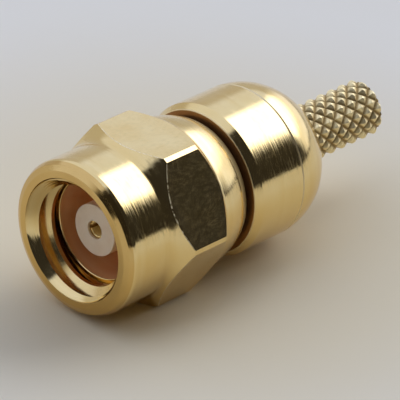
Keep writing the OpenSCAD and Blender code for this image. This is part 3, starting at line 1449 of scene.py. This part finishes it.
@dataclass(frozen=True)
class MainBody:
    """The body: outer contact, tube, shoulder and rear counterbore.

    Attributes:
        layout: Stations of the model.
        tube_r: Radius of the tube that carries the nut.
        cavity_r: Radius of the mating cavity.
        cavity_floor: Station of the cavity's floor.
        groove: Station of the lock ring's seat.
        seat_len: Length of the seat.
        seat_r: Radius of the seat.
        body_len: Length from the shoulder to the seam.
        shoulder_rise: Height of the shoulder's chamfer.
        shoulder_run: Length of that chamfer.
        seam_edge: Broken edge at the seam.
        shank_r: Bore on the insulator's shank.
        bead_r: Radius of the rear counterbore.
        bead_len: Length of the insulator's bead.
    """

    layout: Layout
    tube_r: float = 2.18
    cavity_r: float = 1.96
    cavity_floor: float = 3.28
    groove: float = 3.55
    seat_len: float = 0.46
    seat_r: float = 1.86
    body_len: float = 2.477
    shoulder_rise: float = 0.19
    shoulder_run: float = 0.287
    seam_edge: float = 0.02
    shank_r: float = 1.3
    bead_r: float = 2.15
    bead_len: float = 0.5

    def build(self) -> Workpiece:
        """Turns the body in one piece.

        Returns:
            The finished body.
        """
        body_r, seam = self.layout.body_r, self.layout.seam
        shoulder = seam - self.body_len
        bead = self.layout.nose - self.bead_len
        outline = Outline(
            (
                Corner(self.layout.sleeve, self.cavity_r, 0.035),
                Corner(self.layout.sleeve, self.tube_r, 0.035),
                Corner(self.groove, self.tube_r),
                Corner(self.groove, self.seat_r),
                Corner(self.groove + self.seat_len, self.seat_r),
                Corner(self.groove + self.seat_len, self.tube_r),
                Corner(shoulder, self.tube_r, 0.08),
                Corner(shoulder, body_r - self.shoulder_rise, 0.05),
                Corner(shoulder + self.shoulder_run, body_r, 0.1),
                Corner(seam - self.seam_edge, body_r),
                Corner(seam, body_r - self.seam_edge),
                Corner(seam, self.bead_r),
                Corner(bead, self.bead_r),
                Corner(bead, self.shank_r),
                Corner(self.cavity_floor, self.shank_r),
                Corner(self.cavity_floor, self.cavity_r, 0.05),
            )
        )
        body = Workpiece.turned("gold_main_body", outline, self.layout)
        body.complete()
        return body

    def dress(self, body: Workpiece) -> None:
        """Sorts the body's faces by finish and fits it in the frame.

        Args:
            body: The finished body.
        """
        body.coat(TurnedGold(), BoreGlowGold(), CavityGlowGold(), GapShadeGold(), RubAndGlintGold())
        body.paint(self.layout, self._coat_of)
        body.fit(Body.PLUG, Slot.GOLD, "main_body")

    def _coat_of(self, _face: bpy.types.MeshPolygon, station: float, reach: float) -> int:
        """Chooses the finish of one face by its place, with a little slack for the rounded corners.

        Args:
            _face: A face of the finished body.
            station: Its station.
            reach: Its distance from the axis.

        Returns:
            The finish's place.
        """
        shoulder = self.layout.seam - self.body_len
        face_r = self.layout.body_r - self.shoulder_rise - 0.03
        if reach < self.cavity_r + 0.01 and station > self.layout.sleeve + 0.04:
            # The cavity's wall and floor get brighter, redder copies of the plate: painted bounce light.
            return BodyCoat.WALL if station < self.cavity_floor - 0.06 else BodyCoat.FLOOR
        # The tube and the shoulder face inside the gap get the painted shade of the gap.
        if self.groove < station < shoulder + 0.01 and reach < face_r:
            return BodyCoat.DIM
        # The shoulder's outer edge gets pale wear and a painted highlight.
        if self.groove < station < shoulder + 0.03:
            return BodyCoat.WORN
        return BodyCoat.TURNED


@dataclass(frozen=True)
class CableStem:
    """The rear piece: nose, domed flange and knurled stem.

    Attributes:
        layout: Stations of the model.
        nose_r: Radius of the nose pressed in the body.
        dome_r: Radius of the dome's arc.
        stem_len: Length of the knurled stem.
        seam_edge: Broken edge at the seam.
        edge_slant: Length of that edge for each unit of its height.
        crest_r: Radius over the knurl.
        depth: Depth of the knurl's grooves.
        starts: Ridges in each direction.
        pitch: Length of one diamond along the stem.
        turn: Turn of the knurl about the axis, in degrees.
        lead: How far ahead of the dome's end the first diamond lies, in pitches.
        steps: Share of a diamond's width, and of its height, at each step of its sides.
        tail_edge: Bevel on the rear end.
        cable_r: Bore for the cable's core.
        flare: Reach of the flare's cutter to both sides of the rear end, and how much it widens.
        chamber_r: Bore round the solder cup.
        chamber: Station where that bore ends.
    """

    layout: Layout
    nose_r: float = 2.15
    dome_r: float = 2.62
    stem_len: float = 4.25
    seam_edge: float = 0.04
    edge_slant: float = 1.6
    crest_r: float = 1.14
    depth: float = 0.13
    starts: int = 11
    pitch: float = 0.605
    turn: float = 7.0
    lead: float = 1.63
    steps: tuple[Span, ...] = ((0.36, 0.84), (0.13, 1.0))
    tail_edge: float = 0.08
    cable_r: float = 0.79
    flare: Span = (0.05, 0.08)
    chamber_r: float = 1.15
    chamber: float = 9.417

    @property
    def dome_end(self) -> float:
        """Station of the dome's flat rear face."""
        return self.layout.tail - self.stem_len

    def build(self) -> Workpiece:
        """Joins the turned flange and the knurl, and bores both.

        Returns:
            The finished stem.
        """
        stem = Workpiece.turned("gold_crimp_stem", self._flange(), self.layout)
        stem.combine(self._knurl(), Join.ADD)
        stem.combine(Workpiece.turned("bore", self._bore(), self.layout, BORE_SIDES), Join.CUT)
        stem.complete(smooth_deg=20.0)
        return stem

    def dress(self, stem: Workpiece) -> None:
        """Sorts the stem's faces by finish and fits it in the frame.

        Args:
            stem: The finished stem.
        """
        stem.coat(TurnedGold(), RolledGold(), RubAndGlintGold())
        stem.paint(self.layout, self._coat_of)
        stem.fit(Body.PLUG, Slot.GOLD, "crimp_stem")

    def _coat_of(self, _face: bpy.types.MeshPolygon, station: float, reach: float) -> int:
        """Chooses the finish of one face by its place, with a little slack for the rounded corners.

        Args:
            _face: A face of the finished stem.
            station: Its station.
            reach: Its distance from the axis.

        Returns:
            The finish's place.
        """
        behind_seam = station - self.layout.seam
        if station > self.dome_end + 1e-4:
            return StemCoat.ROLLED
        # The seam's broken edge gets pale wear and a painted highlight.
        if 0.005 < behind_seam < 1.5 * self.seam_edge and reach > self.nose_r + 0.5:
            return StemCoat.WORN
        return StemCoat.TURNED

    def _flange(self) -> Outline:
        """Gives the half section of nose, flange and dome.

        Returns:
            An outline from axis to axis.
        """
        seam, body_r = self.layout.seam, self.layout.body_r
        middle = Corner(seam, body_r - self.dome_r)
        first = math.degrees(math.asin(self.edge_slant * self.seam_edge / self.dome_r))
        last = math.degrees(math.asin((self.dome_end - seam) / self.dome_r))
        arc = Outline.sweep(middle, self.dome_r, first, last, steps=28)
        rear = Corner(arc[-1].station, arc[-1].radius, 0.05)
        return Outline(
            (
                Corner(self.layout.nose, 0.0),
                Corner(self.layout.nose, self.nose_r, 0.05),
                Corner(seam, self.nose_r),
                Corner(seam, body_r - self.seam_edge),
                *arc[:-1],
                rear,
                Corner(self.dome_end, 0.0),
            ),
            closed=False,
        )

    def _bore(self) -> Outline:
        """Gives the half section of the stepped bore.

        Returns:
            An outline from axis to axis.
        """
        front, tail = self.layout.nose - 2 * OVERCUT, self.layout.tail
        reach, widen = self.flare
        return Outline(
            (
                Corner(front, 0.0),
                Corner(front, self.chamber_r),
                Corner(self.chamber, self.chamber_r),
                Corner(self.chamber, self.cable_r),
                Corner(tail - reach, self.cable_r),
                Corner(tail + reach, self.cable_r + widen),
                Corner(tail + reach, 0.0),
            ),
            closed=False,
        )

    def _knurl(self) -> Workpiece:
        """Shapes one diamond, repeats it over a flat sheet, rolls the sheet and trims its ends.

        Returns:
            A closed knurled plug.
        """
        half_long = self.pitch / 2
        half_wide = math.pi * self.crest_r / self.starts
        root_r, tail = self.crest_r - self.depth, self.layout.tail
        knurl = Workpiece.plane("knurl", math.sqrt(2.0), math.radians(45.0))
        with knurl.editing():
            bpy.ops.mesh.select_all(action="SELECT")
            bpy.ops.mesh.subdivide(number_cuts=1)
            bpy.ops.transform.resize(value=(half_long, half_wide, 1.0), center_override=(0.0, 0.0, 0.0))
            bpy.ops.transform.translate(value=(0.0, 0.0, root_r))
            share, rise = 1.0, 0.0
            for next_share, next_rise in self.steps:
                top = root_r + rise * self.depth - 1e-5
                knurl.pick(Pick.FACES, lambda f: f.normal.z > 0.99 and f.calc_center_median().z > top)
                lift = (next_rise - rise) * self.depth
                bpy.ops.mesh.extrude_region_move(TRANSFORM_OT_translate={"value": (0.0, 0.0, lift)})
                shrink = next_share / share
                bpy.ops.transform.resize(value=(shrink, shrink, 1.0), center_override=(0.0, 0.0, 0.0))
                share, rise = next_share, next_rise
            if knurl.pick(Pick.FACES, lambda f: f.calc_center_median().z < root_r + 1e-6):
                bpy.ops.mesh.delete(type="FACE")
            bpy.ops.mesh.select_all(action="SELECT")
            bpy.ops.mesh.duplicate_move(TRANSFORM_OT_translate={"value": (-half_long, half_wide, 0.0)})
            bpy.ops.mesh.select_all(action="SELECT")
            first = self.dome_end - self.lead * self.pitch
            arc = math.radians(self.turn) * self.crest_r
            bpy.ops.transform.translate(value=(self.layout.x(first), arc, 0.0))
        knurl.array(self.starts, Vector((0.0, 2 * half_wide, 0.0)))
        knurl.array(math.ceil(self.stem_len / self.pitch) + 4, Vector((-self.pitch, 0.0, 0.0)))
        knurl.wrap(self.crest_r)
        with knurl.editing():
            knurl.merge(1e-3)
            bpy.ops.mesh.normals_make_consistent(inside=False)
            for station, way in ((self.dome_end - half_long, 1.0), (tail, -1.0)):
                knurl.trim(Vector((self.layout.x(station), 0.0, 0.0)), Vector((way, 0.0, 0.0)))
        start = self.dome_end - self.pitch
        envelope = Outline(
            (
                Corner(start, 0.0),
                Corner(start, self.crest_r + OVERCUT),
                Corner(tail - self.tail_edge - OVERCUT, self.crest_r + OVERCUT),
                Corner(tail + OVERCUT, self.crest_r - self.tail_edge - OVERCUT),
                Corner(tail + OVERCUT, 0.0),
            ),
            closed=False,
        )
        knurl.combine(Workpiece.turned("envelope", envelope, self.layout, BORE_SIDES), Join.COMMON)
        return knurl


@dataclass(frozen=True)
class ContactCore:
    """The insulator and the centre contact inside it.

    Attributes:
        layout: Stations of the model.
        spigot_r: Radius of the insulator's spigot.
        floor: Station of the mating cavity's floor.
        shank_r: Radius of the insulator's shank.
        bead_r: Radius of the insulator's bead.
        bead_len: Thickness of the bead.
        entry_r: Radius of the pin's entry.
        contact_r: Radius of the contact.
        socket_r: Bore for the mating pin.
        socket_len: Depth of that bore.
        slot_w: Width of the slot between the tines.
        slot_len: Length of the slot.
        stop_r: Radius of the collar behind the bead.
        stop_len: Thickness of the collar.
        cup_r: Bore of the solder cup.
    """

    layout: Layout
    spigot_r: float = 1.03
    floor: float = 3.28
    shank_r: float = 1.3
    bead_r: float = 2.15
    bead_len: float = 0.5
    entry_r: float = 0.36
    contact_r: float = 0.52
    socket_r: float = 0.27
    socket_len: float = 2.6
    slot_w: float = 0.14
    slot_len: float = 2.2
    stop_r: float = 0.75
    stop_len: float = 0.35
    cup_r: float = 0.3

    def build_insulator(self) -> Workpiece:
        """Turns the insulator with softened edges.

        Returns:
            The finished insulator.
        """
        layout = self.layout
        bead = layout.nose - self.bead_len
        outline = Outline(
            (
                Corner(layout.spigot, self.entry_r, 0.03),
                Corner(layout.spigot, self.spigot_r, 0.03),
                Corner(self.floor, self.spigot_r),
                Corner(self.floor, self.shank_r),
                Corner(bead, self.shank_r),
                Corner(bead, self.bead_r),
                Corner(layout.nose, self.bead_r),
                Corner(layout.nose, self.contact_r),
                Corner(layout.contact, self.contact_r),
                Corner(layout.contact, self.entry_r, 0.02),
            )
        )
        insulator = Workpiece.turned("white_insulator", outline, layout, RESIN_SIDES)
        insulator.complete()
        return insulator

    def build_contact(self) -> Workpiece:
        """Turns the contact and slots its tines.

        Returns:
            The finished contact.
        """
        layout = self.layout
        cup = layout.nose + self.stop_len
        socket_end = layout.contact + self.socket_len
        outline = Outline(
            (
                Corner(socket_end, 0.0),
                Corner(socket_end, self.socket_r),
                Corner(layout.contact, self.socket_r, 0.04),
                Corner(layout.contact, self.contact_r, 0.05),
                Corner(layout.nose, self.contact_r),
                Corner(layout.nose, self.stop_r),
                Corner(cup, self.stop_r, 0.04),
                Corner(cup, self.contact_r),
                Corner(layout.cup_end, self.contact_r, 0.03),
                Corner(layout.cup_end, self.cup_r, 0.03),
                Corner(cup, self.cup_r),
                Corner(cup, 0.0),
            ),
            closed=False,
        )
        contact = Workpiece.turned("gold_centre_contact", outline, layout, BORE_SIDES)
        reach = 2 * self.contact_r
        slot = Workpiece.block(
            "slot",
            (layout.x(layout.contact + self.slot_len), -reach, -self.slot_w / 2),
            (layout.x(layout.contact) + OVERCUT, reach, self.slot_w / 2),
        )
        contact.combine(slot, Join.CUT)
        contact.complete()
        return contact

    def dress(self, insulator: Workpiece, contact: Workpiece) -> None:
        """Gives the insulator its resin and the contact its plate.

        Args:
            insulator: The finished insulator.
            contact: The finished contact.
        """
        insulator.coat(WhiteResin())
        insulator.fit(Body.PLUG, Slot.RESIN, "insulator")
        contact.coat(TurnedGold(), SocketGlowGold())
        contact.paint(self.layout, self._coat_of)
        contact.fit(Body.PLUG, Slot.GOLD, "centre_contact")

    def _coat_of(self, _face: bpy.types.MeshPolygon, _station: float, reach: float) -> int:
        """Gives the finish of a face of the contact by its distance from the axis."""
        # The socket's bore gets a bright, mostly diffuse copy of the plate: painted light.
        return ContactCoat.SOCKET if reach < self.socket_r + 0.02 else ContactCoat.TURNED


@dataclass(frozen=True)
class LightEdge:
    """Soft leaning edge of a light in the room.

    Attributes:
        lean: How far it leans for each unit of height.
        at: Where it stands at the floor's level.
        soft: Half of its soft width.
    """

    lean: float
    at: float
    soft: float

    def past(self, across: Wire, height: Wire) -> Wire:
        """Goes from 0 to 1 where a value passes the edge."""
        return (across - self.lean * height - self.at).rise(-self.soft, self.soft)


@dataclass(frozen=True)
class Studio:
    """Floor, light and camera.

    Attributes:
        floor_z: Height of the floor.
        aim: Point at the middle of the picture.
        azimuth: Way round to the camera, in degrees.
        elevation: Height of the camera, in degrees.
        roll: Turn of the picture, in degrees.
        distance: From the camera to the aim.
        lens: Focal length, in millimetres.
        sensor: Width of the sensor, in millimetres.
        floor_size: Side of the floor, in metres.
        panel: Strength of the white panel behind, at its foot and at its head.
        panel_tint: Colour of the panel.
        panel_grow: Heights between which its strength grows.
        panel_left: The panel's left edge, in slopes from straight behind.
        panel_right: Its right edge, in the same slopes.
        panel_foot: Slopes between which the panel begins at its foot.
        panel_top: Slopes between which it ends at the top.
        left_edge: Edge between the left side and the dark side.
        window: Direction of the window in front.
        window_edge: Cosines to that direction between which the window begins.
        wall_top: Heights between which the wall gives way to the sky.
        wall: Colour of the left wall near the floor.
        sky: Colour of the left side higher up, and of the window in front.
        dark: Colour of the dark side of the room.
    """

    floor_z: float
    aim: tuple[float, float, float] = (-5.871, -0.190, -0.989)
    azimuth: float = 132.457
    elevation: float = 29.941
    roll: float = 3.699
    distance: float = 170.0
    lens: float = 402.75
    sensor: float = 36.0
    floor_size: float = 4.0
    panel: Span = (1.15, 3.0)
    panel_tint: Colour = (0.97, 1.02, 1.22, 1.0)
    panel_grow: Span = (0.3, 0.5)
    panel_left: LightEdge = LightEdge(0.3, -0.6, 0.12)
    panel_right: LightEdge = LightEdge(0.42, 0.52, 0.2)
    panel_foot: Span = (0.0, 0.08)
    panel_top: Span = (1.3, 1.8)
    left_edge: LightEdge = LightEdge(0.55, -0.4, 0.05)
    window: tuple[float, float, float] = (0.706, -0.659, 0.26)
    window_edge: Span = (0.9, 0.97)
    wall_top: Span = (0.34, 0.48)
    wall: Colour = (0.53, 0.53, 0.55, 1.0)
    sky: Colour = (0.78, 0.86, 1.14, 1.0)
    dark: Colour = (0.03, 0.029, 0.03, 1.0)

    def build(self) -> None:
        """Sets up the whole studio."""
        self._floor()
        self._light()
        self._camera()

    def _floor(self) -> None:
        """Lays the pale floor under the hexagon's flat."""
        floor = Workpiece.plane("floor", self.floor_size)
        with floor.editing():
            bpy.ops.mesh.select_all(action="SELECT")
            bpy.ops.transform.translate(value=(0.0, 0.0, self.floor_z * MM))
        floor.obj.data.materials.append(PaperFloor().material())

    def _light(self) -> None:
        """Lights the room from its own sides: a white panel behind, a soft left, a dark right."""
        world = bpy.data.worlds.new("studio")
        bpy.context.scene.world = world
        world.use_nodes = True
        sheet = Sheet(world.node_tree)
        ray = sheet.wire(sheet.node("ShaderNodeTexCoord"), "Generated")
        x, y, z = sheet.parts(ray)
        depth = (-x).most(0.05)
        across, up = y / depth, z / depth
        panel = (
            self.panel_left.past(across, z)
            * (1.0 - self.panel_right.past(across, z))
            * up.rise(*self.panel_foot)
            * (1.0 - up.rise(*self.panel_top))
            * (-x).rise(0.0, 0.1)
        )
        left = 1.0 - self.left_edge.past(y, z)
        to_x, to_y, to_z = self.window
        window = (to_x * x + to_y * y + to_z * z).rise(*self.window_edge)
        side = sheet.blend(z.rise(*self.wall_top).most(window), self.wall, self.sky)
        room = sheet.blend(left, self.dark, side)
        foot, head = self.panel
        white = foot + (head - foot) * z.rise(*self.panel_grow)
        strength = 1.0 + (white - 1.0) * panel
        tint = sheet.blend(panel, room, self.panel_tint)
        light = sheet.node("ShaderNodeBackground", None, {"Color": tint, "Strength": strength})
        sheet.node("ShaderNodeOutputWorld", None, {"Surface": sheet.wire(light)})

    def _camera(self) -> None:
        """Sets the camera at the photograph's view."""
        azimuth, elevation = math.radians(self.azimuth), math.radians(self.elevation)
        back = Vector(
            (
                math.sin(azimuth) * math.cos(elevation),
                -math.cos(azimuth) * math.cos(elevation),
                math.sin(elevation),
            )
        )
        lens = bpy.data.cameras.new("camera")
        lens.sensor_width = self.sensor
        lens.lens = self.lens
        lens.clip_start = 0.01
        lens.clip_end = 10.0
        camera = bpy.data.objects.new("camera", lens)
        bpy.context.scene.collection.objects.link(camera)
        look = back.to_track_quat("Z", "Y").to_matrix().to_4x4()
        roll = Matrix.Rotation(math.radians(self.roll), 4, "Z")
        spot = (Vector(self.aim) + back * self.distance) * MM
        camera.matrix_world = Matrix.Translation(spot) @ look @ roll
        bpy.context.scene.camera = camera


def main(frame: dict[str, Any]) -> None:
    """Builds the pieces in order and dresses them.

    Args:
        frame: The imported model.
    """
    layout = Layout.from_frame()
    Studio(floor_z=-layout.flat).build()

    nut = CouplingNut(layout)
    nut.dress(nut.build())
    body = MainBody(layout)
    body.dress(body.build())
    stem = CableStem(layout)
    stem.dress(stem.build())
    core = ContactCore(layout)
    core.dress(core.build_insulator(), core.build_contact())

    ring = frame["nodes"]["lock_ring"].data
    ring.materials.clear()
    ring.materials.append(SpringBronze().material())
    LOG.info("lock_ring: kept from the frame")

    bpy.context.scene.view_settings.view_transform = "Standard"


if __name__ == "__main__":
    logging.basicConfig(level=logging.INFO, format="%(name)s: %(message)s")
    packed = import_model()
    main(packed)
